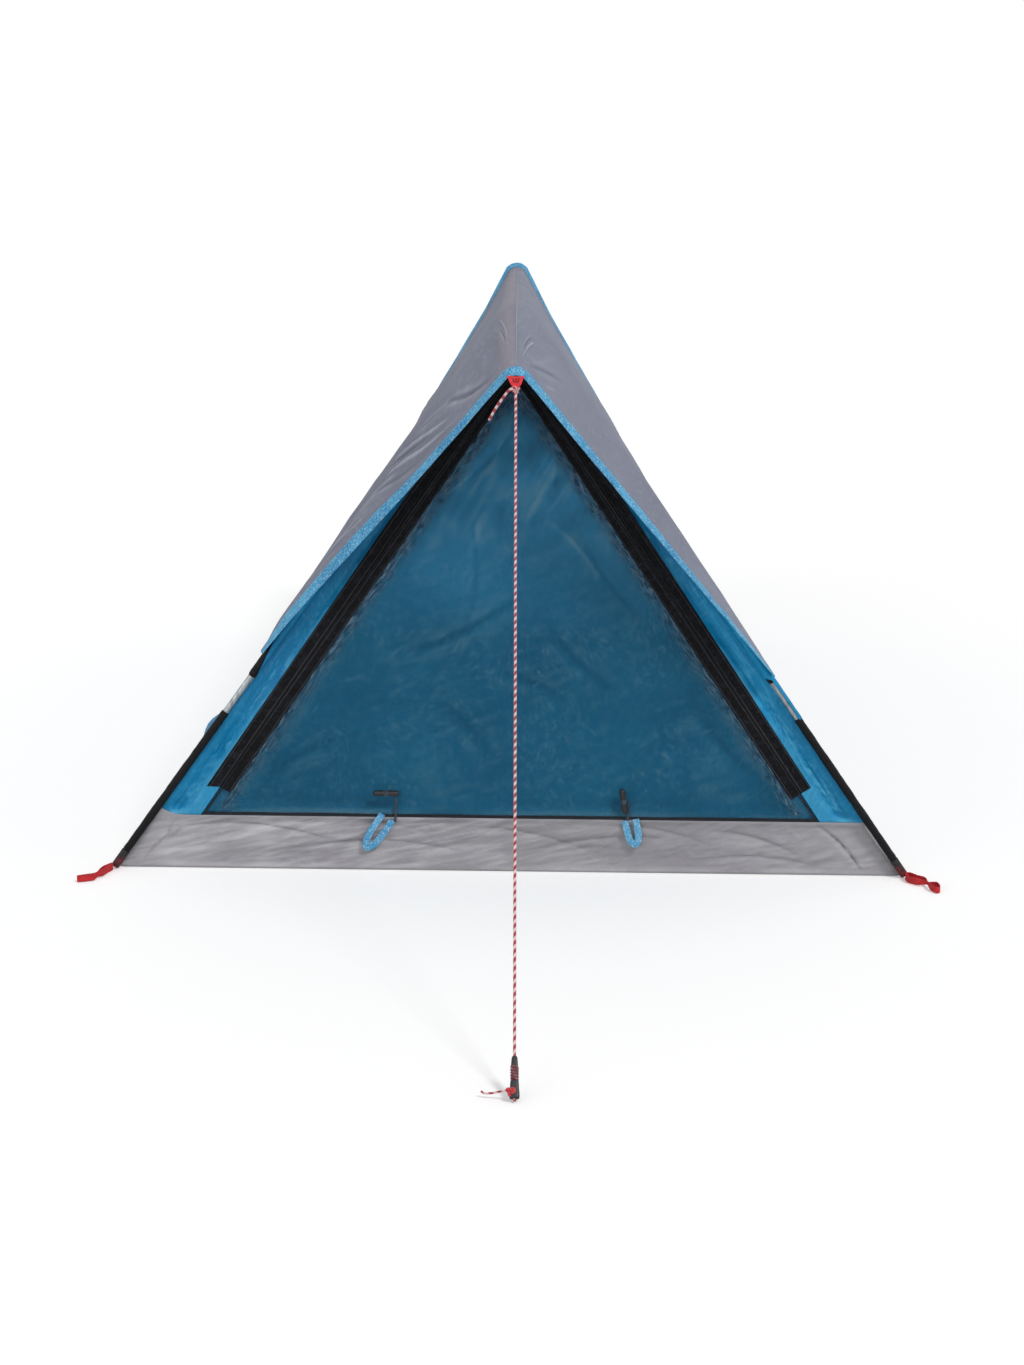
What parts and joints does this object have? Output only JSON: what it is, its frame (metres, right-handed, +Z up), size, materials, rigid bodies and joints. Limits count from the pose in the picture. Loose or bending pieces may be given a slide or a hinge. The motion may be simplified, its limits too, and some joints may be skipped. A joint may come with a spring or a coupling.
{
  "type": "ridge tent",
  "caption": "Double-wall ridge tent on sectional poles, with a tub floor, a zipped net door, a short fly and a front guy rope.",
  "frame": {"origin": "middle of the floor's underside, on the ground", "axes": "+Z up, -Y towards the door and the front guy rope, +X to the right of someone who faces the door"},
  "size_m": [1.4982, 3.1027, 0.9834],
  "materials": {
    "webbing": "dark corner webbing",
    "net": "fine black insect net",
    "blue": "blue breathable cloth",
    "tape": "black zip tape",
    "elbow": "black moulded elbow",
    "steel": "bright steel tube",
    "tub": "grey coated floor cloth",
    "grey": "grey coated fly cloth",
    "binding": "light blue binding tape",
    "rope": "red and white laid rope",
    "red": "red webbing",
    "plastic": "black plastic",
    "fibreglass": "dark fibreglass rod",
    "sleeve": "black woven sleeve",
    "slider": "black zip metal"
  },
  "bodies": {
    "tent": {"corner_pocket_front_left": "webbing", "corner_pocket_front_right": "webbing", "corner_pocket_rear_left": "webbing", "corner_pocket_rear_right": "webbing", "elbow_front": "elbow", "elbow_rear": "elbow", "face_zip_tape": "tape", "ferrule_front_left_lower": "steel", "ferrule_front_left_upper": "steel", "ferrule_front_right_lower": "steel", "ferrule_front_right_upper": "steel", "ferrule_rear_left_lower": "steel", "ferrule_rear_left_upper": "steel", "ferrule_rear_right_lower": "steel", "ferrule_rear_right_upper": "steel", "floor_tub": "tub", "fly": "grey", "fly_binding_front": "binding", "fly_binding_rear": "binding", "front_panel_left": "blue", "front_panel_right": "blue", "guy_rope": "rope", "guy_tab_front": "red", "inner_wall_left": "blue", "inner_wall_rear": "blue", "inner_wall_right": "blue", "pole_front_left_lower": "fibreglass", "pole_front_left_middle": "fibreglass", "pole_front_left_upper": "fibreglass", "pole_front_right_lower": "fibreglass", "pole_front_right_middle": "fibreglass", "pole_front_right_upper": "fibreglass", "pole_rear_left_lower": "fibreglass", "pole_rear_left_middle": "fibreglass", "pole_rear_left_upper": "fibreglass", "pole_rear_right_lower": "fibreglass", "pole_rear_right_middle": "fibreglass", "pole_rear_right_upper": "fibreglass", "ribbon_loop_left": "binding", "ribbon_loop_right": "binding", "sleeve_front_left_lower": "sleeve", "sleeve_front_left_upper": "sleeve", "sleeve_front_right_lower": "sleeve", "sleeve_front_right_upper": "sleeve", "sleeve_rear_left": "sleeve", "sleeve_rear_right": "sleeve", "toggle_left": "plastic", "toggle_right": "plastic"},
    "door": {"door_mesh": "net", "door_panel": "blue", "door_zip_tape": "tape"},
    "slider_left": {"zip_slider_left": "slider"},
    "slider_right": {"zip_slider_right": "slider"},
    "pull_left": {"zip_pull_left": "slider"},
    "pull_right": {"zip_pull_right": "slider"},
    "runner": {"line_runner": "plastic"},
    "loop_front_left": {"peg_loop_front_left": "red"},
    "loop_front_right": {"peg_loop_front_right": "red"},
    "loop_rear_left": {"peg_loop_rear_left": "red"},
    "loop_rear_right": {"peg_loop_rear_right": "red"}
  },
  "joints": [
    {"name": "door_fold", "type": "hinge", "parent": "tent", "child": "door", "pos_m": [0, -1.0139, 0.0983], "axis": [-1, 0, 0], "range_deg": [0, 95]},
    {"name": "zip_slide_left", "type": "slide", "parent": "tent", "child": "slider_left", "axis": [-0.5607, 0, -0.828], "range_m": [0, 0.84]},
    {"name": "zip_pull_swing_left", "type": "hinge", "parent": "slider_left", "child": "pull_left", "pos_m": [-0.02523, -1.0238, 0.86374], "axis": [-0.828, 0, 0.5607], "range_deg": [0, 90]},
    {"name": "zip_slide_right", "type": "slide", "parent": "tent", "child": "slider_right", "axis": [0.5607, 0, -0.828], "range_m": [0, 0.84]},
    {"name": "zip_pull_swing_right", "type": "hinge", "parent": "slider_right", "child": "pull_right", "pos_m": [0.02523, -1.0238, 0.86374], "axis": [-0.828, 0, -0.5607], "range_deg": [0, 90]},
    {"name": "runner_slide", "type": "slide", "parent": "tent", "child": "runner", "axis": [-0.0083, 0.6759, 0.7369], "range_m": [0, 0.35]},
    {"name": "peg_loop_lift_front_left", "type": "hinge", "parent": "tent", "child": "loop_front_left", "pos_m": [-0.69915, -1.03215, 0.0135], "axis": [-0.866, 0.5, 0], "range_deg": [0, 90]},
    {"name": "peg_loop_lift_front_right", "type": "hinge", "parent": "tent", "child": "loop_front_right", "pos_m": [0.69915, -1.03215, 0.0135], "axis": [-0.866, -0.5, 0], "range_deg": [0, 90]},
    {"name": "peg_loop_lift_rear_left", "type": "hinge", "parent": "tent", "child": "loop_rear_left", "pos_m": [-0.57497, 1.03203, 0.0135], "axis": [0.866, 0.5, 0], "range_deg": [0, 90]},
    {"name": "peg_loop_lift_rear_right", "type": "hinge", "parent": "tent", "child": "loop_rear_right", "pos_m": [0.57497, 1.03203, 0.0135], "axis": [0.866, -0.5, 0], "range_deg": [0, 90]}
  ]
}
